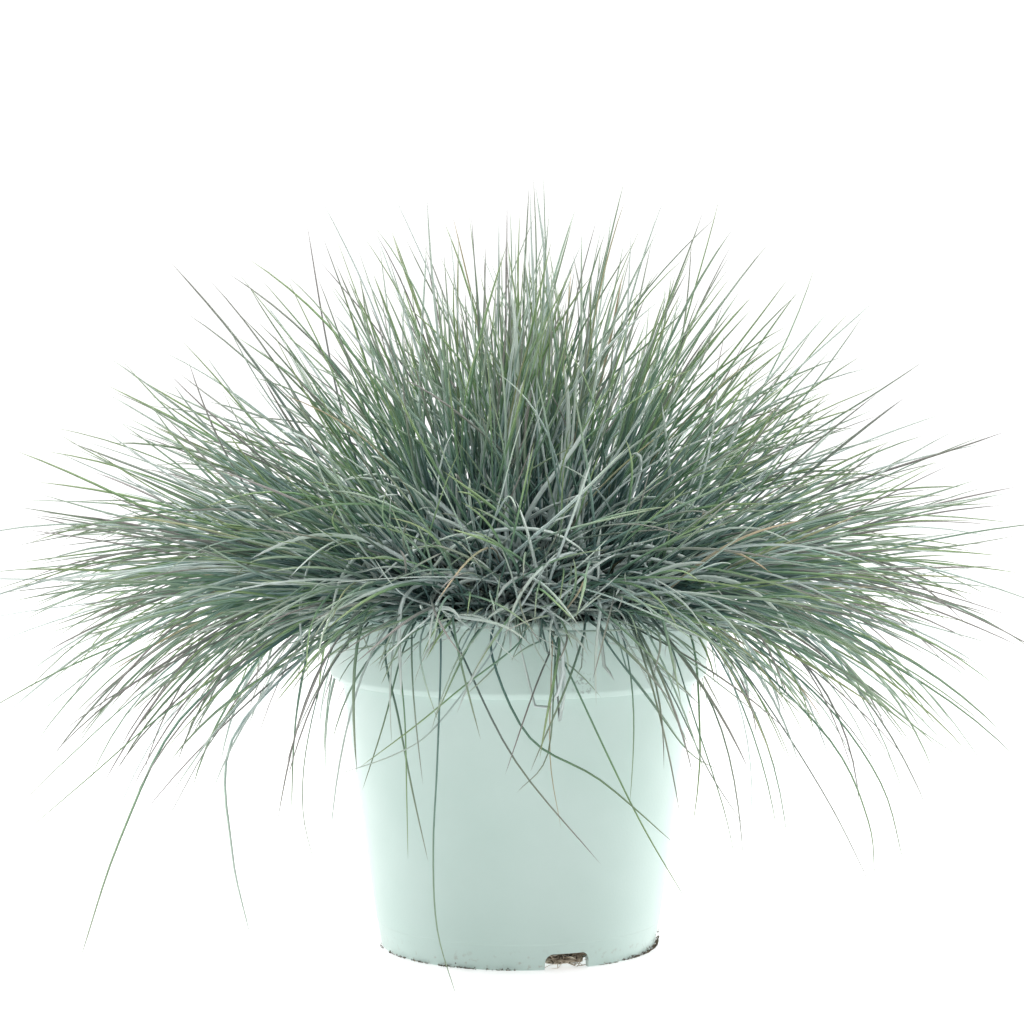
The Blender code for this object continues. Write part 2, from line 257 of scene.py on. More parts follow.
smear = add_node(tree, "ShaderNodeMath", {"operation": "MULTIPLY"}, {
    0: map_range(tree, smear_place, 0.006, 0.003), 1: wisps}).outputs[0]
tree.links.new(mix_colours(tree, smear, mint, hue("6f7a74")), shader.inputs["Base Color"])
add_bump(tree, shader, noise_on_object(tree, 900, 2, places), 0.12, 0.0004)

pot = turned("nursery_pot", rounded(POT_OUTLINE), POT_SIDES)
cutter = notch_cutter(0.020, 0.0070, 0.0035, -70, 3)
cut = pot.modifiers.new("notches", "BOOLEAN")
cut.operation, cut.solver, cut.object = "DIFFERENCE", "EXACT", cutter
plain_copy(pot)
bpy.data.objects.remove(cutter)
pot.data.shade_smooth()
pot.data.set_sharp_from_angle(angle=math.radians(40))
pot.data.materials.clear()
pot.data.materials.append(mint_plastic)
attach(pot, "root")
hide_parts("pot")

# Soil: moist peat compost round the roots, which fills the pot to a finger's breadth under the rim. It shows
# through the notches in the foot.
peat, tree, shader = new_material("peat", 0.95)
places = add_node(tree, "ShaderNodeTexCoord").outputs["Object"]
clods = noise_on_object(tree, 260, 6, places)
fibre = map_range(tree, noise_on_object(tree, 900, 3, places), 0.56, 0.66)
dark = mix_colours(tree, map_range(tree, clods, 0.3, 0.7), hue("2a251e"), hue("675c4d"))
tree.links.new(mix_colours(tree, fibre, dark, hue("9a8b74")), shader.inputs["Base Color"])
add_bump(tree, shader, clods, 0.8, 0.002)
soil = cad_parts["soil"]
soil.data.materials.clear()
soil.data.materials.append(peat)

# Leaf blades: each fescue leaf is rolled lengthwise into a wiry thread under a millimetre thick, with a keel
# below and a waxy bloom. One tree sweeps a three-sided section along each leaf's path, thin at both ends.
BAKE_STRIPS = 6


def new_tree(name, inputs):
    """An empty Geometry Nodes tree with named inputs, as (tree, input sockets by name, output node)."""
    tree = bpy.data.node_groups.new(name, "GeometryNodeTree")
    tree.interface.new_socket("Geometry", in_out="INPUT", socket_type="NodeSocketGeometry")
    for label, kind, value in inputs:
        socket = tree.interface.new_socket(label, in_out="INPUT", socket_type=f"NodeSocket{kind}")
        if value is not None:
            socket.default_value = value
    tree.interface.new_socket("Geometry", in_out="OUTPUT", socket_type="NodeSocketGeometry")
    group_in = tree.nodes.new("NodeGroupInput")
    return tree, {s.name: s for s in group_in.outputs if s.name}, tree.nodes.new("NodeGroupOutput")


def first_output(node):
    return next(s for s in node.outputs if s.enabled)


def calc(tree, operation, *values):
    return add_node(tree, "ShaderNodeMath", {"operation": operation}, dict(enumerate(values))).outputs[0]


def named(tree, name, kind="FLOAT"):
    return add_node(tree, "GeometryNodeInputNamedAttribute", {"data_type": kind}, {"Name": name}).outputs["Attribute"]


def store(tree, geometry, name, value, kind="FLOAT", domain="POINT"):
    return add_node(tree, "GeometryNodeStoreNamedAttribute", {"data_type": kind, "domain": domain},
                    {"Geometry": geometry, "Name": name, "Value": value}).outputs["Geometry"]


def leaf_blade_tree():
    """Sweeps leaf blades along curves that carry leaf_number, girth and roll."""
    tree, given, output = new_tree("leaf_blade", (
        ("Width", "Float", 0.0009), ("Thickness share", "Float", 0.68), ("Leaves", "Int", 100), ("Material", "Material", None)))
    curves = store(tree, given["Geometry"], "along", add_node(tree, "GeometryNodeSplineParameter").outputs["Factor"])
    curves = add_node(tree, "GeometryNodeSetCurveTilt", inputs={
        "Curve": curves, "Tilt": named(tree, "roll")}).outputs["Curve"]
    taper = add_node(tree, "ShaderNodeFloatCurve", inputs={"Value": named(tree, "along")})
    line = taper.mapping.curves[0]
    line.points[0].location, line.points[1].location = (0, 0), (1, 0)
    for place in ((0.03, 0.85), (0.35, 1.0), (0.75, 0.88), (0.93, 0.52)):
        line.points.new(*place)
    taper.mapping.update()
    radius = calc(tree, "MULTIPLY", calc(tree, "MULTIPLY", taper.outputs["Value"], named(tree, "girth")),
                  calc(tree, "MULTIPLY", given["Width"], 0.5))
    ring = add_node(tree, "GeometryNodeCurveArc", inputs={
        "Resolution": 4, "Radius": 1.0, "Start Angle": math.radians(-30), "Sweep Angle": 2 * math.pi}).outputs["Curve"]
    flat = add_node(tree, "ShaderNodeCombineXYZ", inputs={"X": 1.0, "Y": given["Thickness share"], "Z": 1.0})
    ring = add_node(tree, "GeometryNodeTransform", inputs={"Geometry": ring, "Scale": flat.outputs[0]}).outputs["Geometry"]
    ring = store(tree, ring, "across", add_node(tree, "GeometryNodeSplineParameter").outputs["Factor"])
    blades = add_node(tree, "GeometryNodeCurveToMesh", inputs={
        "Curve": curves, "Profile Curve": ring, "Scale": radius, "Fill Caps": False}).outputs["Mesh"]
    number = named(tree, "leaf_number")
    column = calc(tree, "MODULO", number, float(BAKE_STRIPS))
    row = calc(tree, "FLOOR", calc(tree, "DIVIDE", number, float(BAKE_STRIPS)))
    rows = calc(tree, "CEIL", calc(tree, "DIVIDE", given["Leaves"], float(BAKE_STRIPS)))
    across_strip = calc(tree, "DIVIDE", calc(tree, "ADD", column, calc(
        tree, "MULTIPLY_ADD", named(tree, "along"), 0.94, 0.03)), float(BAKE_STRIPS))
    up_strip = calc(tree, "DIVIDE", calc(tree, "ADD", row, calc(
        tree, "MULTIPLY_ADD", named(tree, "across"), 0.7, 0.15)), rows)
    strip = add_node(tree, "ShaderNodeCombineXYZ", inputs={"X": across_strip, "Y": up_strip})
    blades = store(tree, blades, "OFBake", strip.outputs[0], "FLOAT2", "CORNER")
    blades = add_node(tree, "GeometryNodeMergeByDistance", inputs={
        "Geometry": blades, "Distance": 0.000002}).outputs["Geometry"]
    blades = add_node(tree, "GeometryNodeSetShadeSmooth", inputs={"Geometry": blades}).outputs["Geometry"]
    blades = add_node(tree, "GeometryNodeRealizeInstances", inputs={"Geometry": blades}).outputs["Geometry"]
    blades = add_node(tree, "GeometryNodeSetMaterial", inputs={
        "Geometry": blades, "Material": given["Material"]}).outputs["Geometry"]
    tree.links.new(blades, output.inputs["Geometry"])
    return tree


leaf_blade = leaf_blade_tree()


def grown(name, guide, tree, settings):
    """Runs a tree on a guide mesh and gives its result as a plain mesh object."""
    maker = bpy.data.objects.new(name, guide)
    scene.collection.objects.link(maker)
    modifier = maker.modifiers.new("grow", "NODES")
    modifier.node_group = tree
    for item in tree.interface.items_tree:
        if item.in_out == "INPUT" and item.name in settings:
            modifier[item.identifier] = settings[item.name]
    plain_copy(maker)
    for used in [a.name for a in maker.data.attributes if a.name in LEAF_FACTS]:
        maker.data.attributes.remove(maker.data.attributes[used])
    return maker


# Leaf colour: glaucous blue-green with a pale bloom, purple-grey towards the tips, and now and then a dry
# straw-coloured leaf. Large patches are greener as painted light shining through the thin blades, and the leaves are
# darker towards the foot, partly their own colour and partly painted shade inside the clump.
blue_leaf, tree, shader = new_material("blue_leaf", 0.5)
tint = add_node(tree, "ShaderNodeAttribute", {"attribute_name": "tint"}).outputs["Fac"]
along = add_node(tree, "ShaderNodeAttribute", {"attribute_name": "along"}).outputs["Fac"]
places = add_node(tree, "ShaderNodeTexCoord").outputs["Object"]


def shade_by(value, shades):
    """A colour ramp with (position, colour code) stops."""
    ramp = add_node(tree, "ShaderNodeValToRGB", inputs={"Fac": value})
    elements = ramp.color_ramp.elements
    elements[0].position, elements[0].color = shades[0][0], hue(shades[0][1])
    elements[1].position, elements[1].color = shades[-1][0], hue(shades[-1][1])
    for position, code in shades[1:-1]:
        elements.new(position).color = hue(code)
    return ramp.outputs["Color"]


# The inner colours, used towards each leaf's foot, are mostly darker than the outer ones: partly the leaves' own bluer
# colour and partly painted shade inside the clump.
inner_with_shade = shade_by(tint, ((0.0, "435f5a"), (0.3, "527170"), (0.55, "748f91"), (0.7, "cfdbda"), (0.80, "597a76"),
                        (0.97, "5f8074"), (0.99, "a39a86")))
outer = shade_by(tint, ((0.0, "85827e"), (0.12, "7b8c7c"), (0.28, "749474"), (0.45, "87a294"), (0.7, "ccd8d5"),
                        (0.80, "7a9b6e"), (0.97, "7d9c6a"), (0.99, "b4a890")))
tips = shade_by(tint, ((0.0, "8d8887"), (0.15, "8d8985"), (0.35, "8f9a7a"), (0.55, "96a38a"), (0.7, "c6cfca"),
                       (0.80, "909c78"), (0.97, "8f9a74"), (0.99, "b09a7c")))
body = mix_colours(tree, map_range(tree, along, 0.35, 0.78), inner_with_shade, outer)
# Painted light: large random patches away from the foot lean towards green 6c945c, in place of light shining through
# the thin blades.
backlit_green_patch = map_range(tree, noise_on_object(tree, 9, 2, places), 0.50, 0.66, 0.0, 0.40)
backlit_green_patch = add_node(tree, "ShaderNodeMath", {"operation": "MULTIPLY"}, {
    0: backlit_green_patch, 1: map_range(tree, along, 0.2, 0.6)}).outputs[0]
body = mix_colours(tree, backlit_green_patch, body, hue("6c945c"))
# Painted shade: the lower part of every leaf is darkened towards 36453c, most at the foot, for the shade inside the
# clump. The ramp by tint gives the pale, thickly bloomed leaves less of it.
tint_shade_share = shade_by(tint, ((0.0, "ffffff"), (0.45, "ffffff"), (0.6, "a0a0a0"), (0.73, "a0a0a0"), (0.8, "ffffff")))
foot_shade = mix_colours(tree, 1.0, map_range(tree, along, 0.38, 0.04, 0.0, 0.88), tint_shade_share, "MULTIPLY")
body = mix_colours(tree, foot_shade, body, hue("36453c"))
tip = map_range(tree, along, 0.66, 1.0, 0.0, 0.75)
body = mix_colours(tree, tip, body, tips)
streaks = map_range(tree, noise_on_object(tree, 160, 2, places), 0.3, 0.7, 0.93, 1.06)
tree.links.new(mix_colours(tree, 1.0, body, streaks, "MULTIPLY"), shader.inputs["Base Color"])
shader.inputs["Specular IOR Level"].default_value = 0.35


# Tufts: every shoot on the crown carries dozens of leaves that grow out together and then part. A leaf turns
# down a little at each step of its length, and those low on the crown droop the most.
LEAF_FACTS = ("leaf_number", "girth", "roll", "across", "azimuth", "lean", "heading", "rise", "reach", "droop",
              "bend", "wave_start", "step")
POINTS_PER_LEAF = 16


def grow_leaves_tree():
    """Grows leaves from tuft roots that carry an azimuth and a lean in radians."""
    tree, given, output = new_tree("grow_leaves", (
        ("Points per leaf", "Int", POINTS_PER_LEAF), ("Length", "Float", 0.2),
        ("Length spread", "Float", 0.4), ("Lean spread", "Float", 0.3), ("Heading spread", "Float", 0.4),
        ("Droop", "Float", 1.0), ("Droop spread", "Float", 0.4), ("Droop power", "Float", 1.35),
        ("Side bend", "Float", 0.5), ("Wave", "Float", 0.05), ("Root spread", "Float", 0.006),
        ("Width", "Float", 0.0009), ("Rim allowance", "Float", -0.06), ("Rise spread", "Float", 0.34),
        ("Tint low", "Float", 0.0), ("Tint high", "Float", 1.0),
        ("Leaves", "Int", 100), ("Seed", "Int", 1), ("Material", "Material", None)))
    drawn = [0]

    def draw(low, high):
        """A new random number for each leaf."""
        drawn[0] += 1
        node = add_node(tree, "FunctionNodeRandomValue", {"data_type": "FLOAT"}, {
            "Min": low, "Max": high, "Seed": calc(tree, "ADD", given["Seed"], float(drawn[0]))})
        return first_output(node)

    def bell(spread):
        """A random number round 0 that is seldom near its limits, plus or minus spread."""
        return calc(tree, "MULTIPLY", calc(tree, "ADD", draw(-0.5, 0.5), draw(-0.5, 0.5)), spread)

    roots = add_node(tree, "GeometryNodeMeshToPoints", inputs={"Mesh": given["Geometry"]}).outputs[0]
    leaves = add_node(tree, "GeometryNodeDuplicateElements", {"domain": "POINT"}, {
        "Geometry": roots, "Amount": named(tree, "leaves", "INT")}).outputs["Geometry"]
    leaves = store(tree, leaves, "leaf_number", add_node(tree, "GeometryNodeInputIndex").outputs[0], "INT")
    flatness = calc(tree, "MAXIMUM", calc(tree, "COSINE", named(tree, "lean")), 0.25)
    facts = {
        "heading": calc(tree, "ADD", named(tree, "azimuth"), calc(tree, "DIVIDE", bell(given["Heading spread"]), flatness)),
        "lean": calc(tree, "ADD", named(tree, "lean"), bell(given["Lean spread"])),
        "reach": calc(tree, "MULTIPLY", calc(tree, "MULTIPLY", given["Length"], named(tree, "vigour")), calc(
            tree, "SUBTRACT", 1.0, calc(tree, "MULTIPLY", draw(0.0, 1.0), given["Length spread"]))),
        "droop": calc(tree, "MULTIPLY", given["Droop"], calc(tree, "ADD", 1.0, bell(given["Droop spread"]))),
        "bend": bell(given["Side bend"]),
        "wave_start": draw(0.0, 6.28),
        "roll": draw(0.0, 6.28),
        "girth": draw(0.75, 1.25),
        "tint": draw(given["Tint low"], given["Tint high"]),
    }
    for name, value in facts.items():
        leaves = store(tree, leaves, name, value)
    jitter = add_node(tree, "ShaderNodeCombineXYZ", inputs={
        "X": bell(given["Root spread"]), "Y": bell(given["Root spread"]), "Z": bell(given["Root spread"])})
    leaves = add_node(tree, "GeometryNodeSetPosition", inputs={
        "Geometry": leaves, "Offset": jitter.outputs[0]}).outputs["Geometry"]
    start = add_node(tree, "ShaderNodeSeparateXYZ", inputs={
        "Vector": add_node(tree, "GeometryNodeInputPosition").outputs[0]}).outputs
    start_radius = calc(tree, "SQRT", calc(tree, "ADD", calc(tree, "POWER", start["X"], 2.0),
                                           calc(tree, "POWER", start["Y"], 2.0)))
    to_rim = calc(tree, "ARCTAN2", calc(tree, "SUBTRACT", POT_HEIGHT + 0.0045, start["Z"]),
                  calc(tree, "MAXIMUM", calc(tree, "SUBTRACT", RIM_RADIUS + 0.002, start_radius), 0.004))
    drop_to_rim = calc(tree, "DIVIDE", calc(tree, "POWER", 0.25, given["Droop power"]),
                       calc(tree, "ADD", given["Droop power"], 1.0))
    clearing = calc(tree, "ADD", calc(tree, "MULTIPLY_ADD", named(tree, "droop"), drop_to_rim, to_rim),
                    given["Rim allowance"])
    clearing = calc(tree, "MULTIPLY_ADD", draw(0.0, 1.0), given["Rise spread"], clearing)
    leaves = store(tree, leaves, "rise", calc(tree, "MAXIMUM", named(tree, "lean"), clearing))
    copies = add_node(tree, "GeometryNodeDuplicateElements", {"domain": "POINT"}, {
        "Geometry": leaves, "Amount": given["Points per leaf"]})
    points = store(tree, copies.outputs["Geometry"], "step", copies.outputs["Duplicate Index"], "INT")

    steps = calc(tree, "SUBTRACT", given["Points per leaf"], 1.0)
    share = calc(tree, "DIVIDE", calc(tree, "ADD", named(tree, "step"), 0.5), steps)
    swing = calc(tree, "MULTIPLY_ADD", share, 6.0, named(tree, "wave_start"))
    fall = calc(tree, "MULTIPLY", named(tree, "droop"), calc(tree, "POWER", share, given["Droop power"]))
    rise = calc(tree, "SUBTRACT", named(tree, "rise"), fall)
    rise = calc(tree, "MULTIPLY_ADD", calc(tree, "SINE", swing), given["Wave"], rise)
    heading = calc(tree, "MULTIPLY_ADD", named(tree, "bend"), share, named(tree, "heading"))
    heading = calc(tree, "MULTIPLY_ADD", calc(tree, "COSINE", swing), given["Wave"], heading)
    stride = calc(tree, "DIVIDE", named(tree, "reach"), steps)
    level = calc(tree, "MULTIPLY", calc(tree, "COSINE", rise), stride)
    move = add_node(tree, "ShaderNodeCombineXYZ", inputs={
        "X": calc(tree, "MULTIPLY", level, calc(tree, "COSINE", heading)),
        "Y": calc(tree, "MULTIPLY", level, calc(tree, "SINE", heading)),
        "Z": calc(tree, "MULTIPLY", stride, calc(tree, "SINE", rise))})
    walk = add_node(tree, "GeometryNodeAccumulateField", {"data_type": "FLOAT_VECTOR", "domain": "POINT"}, {
        "Value": move.outputs[0], "Group ID": named(tree, "leaf_number", "INT")})
    points = add_node(tree, "GeometryNodeSetPosition", inputs={
        "Geometry": points, "Offset": walk.outputs["Trailing"]}).outputs["Geometry"]

    place = add_node(tree, "ShaderNodeSeparateXYZ", inputs={
        "Vector": add_node(tree, "GeometryNodeInputPosition").outputs[0]})
    radius = calc(tree, "SQRT", calc(tree, "ADD", calc(tree, "POWER", place.outputs["X"], 2.0),
                                     calc(tree, "POWER", place.outputs["Y"], 2.0)))
    up_to_rim = map_range(tree, radius, 0.050, 0.076, 0.1440, POT_HEIGHT + 0.0035)
    past_rim = add_node(tree, "ShaderNodeMapRange", {"interpolation_type": "SMOOTHSTEP"}, {
        "Value": radius, "From Min": RIM_RADIUS + 0.0025, "From Max": RIM_RADIUS + 0.022,
        "To Min": POT_HEIGHT + 0.0035, "To Max": 0.004}).outputs["Result"]
    lowest = calc(tree, "MINIMUM", up_to_rim, past_rim)
    lifted = add_node(tree, "ShaderNodeCombineXYZ", inputs={
        "X": place.outputs["X"], "Y": place.outputs["Y"],
        "Z": calc(tree, "MAXIMUM", place.outputs["Z"], lowest)})
    points = add_node(tree, "GeometryNodeSetPosition", inputs={
        "Geometry": points, "Position": lifted.outputs[0]}).outputs["Geometry"]
    curves = add_node(tree, "GeometryNodePointsToCurves", inputs={
        "Points": points, "Curve Group ID": named(tree, "leaf_number", "INT"),
        "Weight": named(tree, "step")}).outputs["Curves"]
    blades = add_node(tree, "GeometryNodeGroup", {"node_tree": leaf_blade}, {
        "Geometry": curves, "Width": given["Width"], "Leaves": given["Leaves"], "Material": given["Material"]})
    realized = add_node(tree, "GeometryNodeRealizeInstances", inputs={"Geometry": blades.outputs["Geometry"]})
    painted = add_node(tree, "GeometryNodeSetMaterial", inputs={
        "Geometry": realized.outputs["Geometry"], "Material": given["Material"]})
    tree.links.new(painted.outputs["Geometry"], output.inputs["Geometry"])
    return tree


grow_leaves = grow_leaves_tree()

CROWN_RADIUS = 0.048
CROWN_HEIGHT = 0.024
CROWN_BASE = 0.1413


def tuft_roots(name, places):
    """A mesh of points on the crown, one for each (azimuth, lean, leaves, vigour, twist), in degrees."""
    corners, azimuths, leans = [], [], []
    for azimuth, lean, _, _, twist in places:
        turn, up = math.radians(azimuth), math.radians(lean)
        size = math.hypot(CROWN_RADIUS * math.cos(up), CROWN_HEIGHT * math.sin(up))
        out = (CROWN_RADIUS ** 2 * math.cos(up) / size) * 0.93
        height = CROWN_BASE + 0.93 * CROWN_HEIGHT ** 2 * math.sin(up) / size
        corners.append((out * math.cos(turn), out * math.sin(turn), height))
        azimuths.append(turn + math.radians(twist))
        leans.append(up)
    mesh = bpy.data.meshes.new(name)
    mesh.from_pydata(corners, [], [])
    for label, kind, values in (("azimuth", "FLOAT", azimuths), ("lean", "FLOAT", leans),
                                ("leaves", "INT", [place[2] for place in places]),
                                ("vigour", "FLOAT", [place[3] for place in places])):
        mesh.attributes.new(label, kind, "POINT").data.foreach_set("value", values)
    return mesh


TUFT_ROWS = (
    # piece, row of solids, tufts, first azimuth, lean and its spread, length, droop, its spread and its power,
    # leaves in a tuft, share of them at the front, lowest tint
    ("skirt_leaves", "skirt_tuft", 12, 15, 12, 36, 0.218, 90, 1.2, 0.35, 84, 0.04, -0.25),
    ("side_leaves", "side_tuft", 12, 0, 27, 36, 0.209, 36, 2.0, 0.8, 90, 0.45, 0.0),
    ("rising_leaves", "rising_tuft", 9, 10, 53, 30, 0.186, 26, 1.8, 1.1, 52, 0.6, 0.0),
    ("upright_leaves", "upright_tuft", 6, 35, 70, 26, 0.188, 16, 1.8, 1.3, 60, 1.0, 0.0),
    ("heart_leaves", "heart_tuft", 2, 80, 84, 24, 0.186, 8, 1.8, 1.3, 60, 1.0, 0.0),
)
for seed, (piece, row, count, first, lean, lean_spread, length, droop, droop_spread, power, leaves,
           front_share, tint_low) in enumerate(TUFT_ROWS):
    places = []
    for index in range(count):
        azimuth = first + 360 * index / count
        front = max(0.0, math.cos(math.radians(azimuth + 90))) ** 2
        back = max(0.0, math.sin(math.radians(azimuth))) ** 2
        right = max(0.0, math.cos(math.radians(azimuth))) ** 2 * (row == "side_tuft")
        vigour = 1 - 0.20 * front - 0.06 * back - 0.02 * math.cos(math.radians(azimuth)) ** 2 - 0.06 * right
        share = (1 - front * (1 - front_share)) * (1 - 0.45 * right)
        places.append((azimuth, lean, round(leaves * share), vigour, 0))
    blades = grown(piece, tuft_roots(piece, places), grow_leaves, {
        "Leaves": sum(place[2] for place in places), "Length": length, "Length spread": 0.38,
        "Lean spread": math.radians(lean_spread), "Heading spread": math.radians(70),
        "Droop": math.radians(droop), "Droop spread": droop_spread, "Droop power": power, "Side bend": math.radians(60), "Wave": 0.06,
        "Root spread": 0.016, "Width": 0.00130, "Tint low": tint_low, "Seed": 100 * (seed + 1),
        "Material": blue_leaf})
    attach(blades, "root")
    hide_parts(*[f"{row}_{index + 1:02d}" for index in range(count)])

# Leaves across the front of the rim: pale leaves that set off sideways from the front of the crown, cross one
# another and lie over the edge of the pot.
fringe_places = [(azimuth, lean, 6, 1.0, twist) for azimuth in range(-146, -33, 8)
                 for lean, twist in ((4, -74), (6, 74), (10, -44), (8, 48))]
fringe = grown("rim_leaves", tuft_roots("rim_leaves", fringe_places), grow_leaves, {
    "Leaves": 6 * len(fringe_places), "Length": 0.118, "Length spread": 0.6, "Lean spread": math.radians(30),
    "Heading spread": math.radians(56), "Droop": math.radians(22), "Droop spread": 2.4, "Droop power": 1.0,
    "Side bend": math.radians(80), "Wave": 0.12, "Root spread": 0.022, "Width": 0.00125,
    "Rim allowance": -0.16, "Rise spread": 0.12, "Tint low": 0.45, "Tint high": 0.74, "Seed": 820, "Material": blue_leaf})
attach(fringe, "root")

# Short leaves at the front: the youngest leaves there are bent and curled, and hook over one another in front of
# the dark heart of the plant. They are thickly covered with pale bloom.
curled_places = [(azimuth, lean, 5, 1.0, twist) for azimuth in range(-150, -29, 15)
                 for lean, twist in ((8, -50), (26, 50), (44, -30), (62, 30))]
curled = grown("curled_leaves", tuft_roots("curled_leaves", curled_places), grow_leaves, {
    "Leaves": 5 * len(curled_places), "Length": 0.130, "Length spread": 0.6, "Lean spread": math.radians(50),
    "Heading spread": math.radians(120), "Droop": math.radians(70), "Droop spread": 2.4,
    "Side bend": math.radians(150), "Wave": 0.22, "Root spread": 0.034, "Width": 0.00240,
    "Tint low": 0.65, "Tint high": 0.73, "Seed": 900, "Material": blue_leaf})
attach(curled, "root")

# Leaves that hang over the rim: long, weak leaves that lean on the collar and fall beside the pot.
HANGING_LEAVES = (
    # azimuth at the rim, share of full width, tint, then points beyond the rim
    (-115, 1.1, 0.40, (-0.0325, -0.0975, 0.1465), (-0.0337, -0.112, 0.0992), (-0.0352, -0.121, 0.0633),
     (-0.0334, -0.128, 0.0316), (-0.0252, -0.134, 0.0045)),
    (-111, 1.2, 0.05, (-0.0230, -0.098, 0.1400), (-0.0011, -0.108, 0.0977), (0.0343, -0.116, 0.0558)),
    (-84, 1.2, 0.90, (0.0160, -0.0965, 0.1440), (0.0376, -0.110, 0.0989), (0.0519, -0.115, 0.0706),
     (0.0688, -0.118, 0.0420)),
    (-96, 1.1, 0.30, (-0.0110, -0.0975, 0.1400), (0.0046, -0.108, 0.1077), (0.0334, -0.113, 0.0910),
     (0.0646, -0.117, 0.0647)),
    (-124, 1.1, 0.85, (-0.0500, -0.090, 0.1450), (-0.0471, -0.104, 0.1147), (-0.0462, -0.110, 0.0822),
     (-0.0457, -0.113, 0.0577)),
    (-153, 1.4, 0.30, (-0.1000, -0.078, 0.1450), (-0.1407, -0.100, 0.1141), (-0.1646, -0.112, 0.0659),
     (-0.1808, -0.118, 0.0170)),
    (-146, 1.7, 0.60, (-0.0850, -0.074, 0.1430), (-0.1191, -0.100, 0.1057), (-0.1187, -0.108, 0.0610),
     (-0.1112, -0.112, 0.0262)),
    (-32, 1.3, 0.30, (0.0900, -0.070, 0.1440), (0.1298, -0.095, 0.1050), (0.1454, -0.100, 0.0722),
     (0.1481, -0.104, 0.0477)),
    (122, 1.0, 0.50, (-0.0640, 0.092, 0.1460), (-0.0860, 0.120, 0.1120), (-0.0930, 0.132, 0.0800),
     (-0.0940, 0.138, 0.0460)),
    (60, 1.0, 0.50, (0.0580, 0.096, 0.1460), (0.0700, 0.124, 0.1060), (0.0760, 0.136, 0.0720),
     (0.0740, 0.141, 0.0300)),
    (-78, 0.9, 0.20, (0.0150, -0.0975, 0.1400), (0.0120, -0.106, 0.1010), (-0.0010, -0.110, 0.0850)),
    (-80, 0.7, 0.99, (0.0140, -0.0965, 0.1420), (0.0130, -0.106, 0.1000), (0.0175, -0.110, 0.0700)),
    (-125, 1.0, 0.20, (-0.0560, -0.086, 0.1420), (-0.0500, -0.100, 0.1150), (-0.0440, -0.106, 0.0850),
     (-0.0375, -0.108, 0.0560)),
    (-88, 1.0, 0.90, (0.0000, -0.0980, 0.1460), (-0.0230, -0.108, 0.1290), (-0.0430, -0.112, 0.1130),
     (-0.0660, -0.114, 0.0960)),
    (-95, 0.9, 0.60, (-0.0100, -0.0970, 0.1440), (-0.0340, -0.108, 0.1130), (-0.0500, -0.112, 0.1020),
     (-0.0760, -0.114, 0.0930)),
    (-40, 1.0, 0.92, (0.0740, -0.074, 0.1420), (0.0760, -0.088, 0.1050), (0.0750, -0.092, 0.0850),
     (0.0730, -0.094, 0.0700)),
    (-68, 1.0, 0.40, (0.0370, -0.094, 0.1450), (0.0540, -0.102, 0.1230), (0.0700, -0.106, 0.1020),
     (0.0830, -0.108, 0.0940)),
    (-118, 1.1, 0.25, (-0.0480, -0.0900, 0.1430), (-0.0560, -0.100, 0.1130), (-0.0650, -0.104, 0.0850)),
    (-50, 0.9, 0.25, (0.0640, -0.080, 0.1430), (0.0730, -0.092, 0.1150), (0.0850, -0.100, 0.0780),
     (0.0900, -0.104, 0.0560)),
    (-58, 0.9, 0.10, (0.0530, -0.088, 0.1440), (0.0660, -0.098, 0.1200), (0.0790, -0.104, 0.0930),
     (0.0940, -0.108, 0.0700)),
    (-38, 0.9, 0.05, (0.0850, -0.072, 0.1440), (0.1080, -0.084, 0.1130), (0.1310, -0.092, 0.0760),
     (0.1480, -0.096, 0.0420)),
    (-26, 0.9, 0.30, (0.0950, -0.054, 0.1450), (0.1290, -0.064, 0.1180), (0.1540, -0.070, 0.0830),
     (0.1640, -0.074, 0.0480)),
    (-22, 0.8, 0.40, (0.1000, -0.046, 0.1470), (0.1420, -0.054, 0.1260), (0.1720, -0.060, 0.1040),
     (0.1930, -0.062, 0.0900)),
    (-140, 0.9, 0.25, (-0.0780, -0.076, 0.1430), (-0.0880, -0.092, 0.1060), (-0.0900, -0.098, 0.0760),
     (-0.0840, -0.102, 0.0500)),
    (-150, 1.0, 0.10, (-0.0900, -0.066, 0.1450), (-0.1250, -0.080, 0.1090), (-0.1500, -0.086, 0.0660)),
    (-158, 0.9, 0.80, (-0.0980, -0.048, 0.1450), (-0.1480, -0.058, 0.1140), (-0.1850, -0.064, 0.0830),
     (-0.2120, -0.066, 0.0600)),
    (-165, 0.9, 0.35, (-0.1010, -0.036, 0.1480), (-0.1560, -0.040, 0.1230), (-0.1980, -0.042, 0.0870),
     (-0.2210, -0.042, 0.0640)),
)


def smooth_line(knots, steps):
    """Points on a smooth curve through the knots."""
    ends = [knots[0] * 2 - knots[1], *knots, knots[-1] * 2 - knots[-2]]
    points = []
    for before, start, stop, after in zip(ends, ends[1:], ends[2:], ends[3:]):
        for step in range(steps):
            t = step / steps
            points.append(0.5 * (2 * start + (stop - before) * t + (2 * before - 5 * start + 4 * stop - after) * t ** 2
                                 + (3 * start - before - 3 * stop + after) * t ** 3))
    return points + [knots[-1]]


def path_blades_tree():
    """Turns paths of edges into leaf blades."""
    tree, given, output = new_tree("path_blades", (
        ("Width", "Float", 0.0009), ("Leaves", "Int", 10), ("Material", "Material", None)))
    curves = add_node(tree, "GeometryNodeMeshToCurve", inputs={"Mesh": given["Geometry"]}).outputs["Curve"]
    blades = add_node(tree, "GeometryNodeGroup", {"node_tree": leaf_blade}, {
        "Geometry": curves, "Width": given["Width"], "Leaves": given["Leaves"], "Material": given["Material"]})
    realized = add_node(tree, "GeometryNodeRealizeInstances", inputs={"Geometry": blades.outputs["Geometry"]})
    painted = add_node(tree, "GeometryNodeSetMaterial", inputs={
        "Geometry": realized.outputs["Geometry"], "Material": given["Material"]})
    tree.links.new(painted.outputs["Geometry"], output.inputs["Geometry"])
    return tree


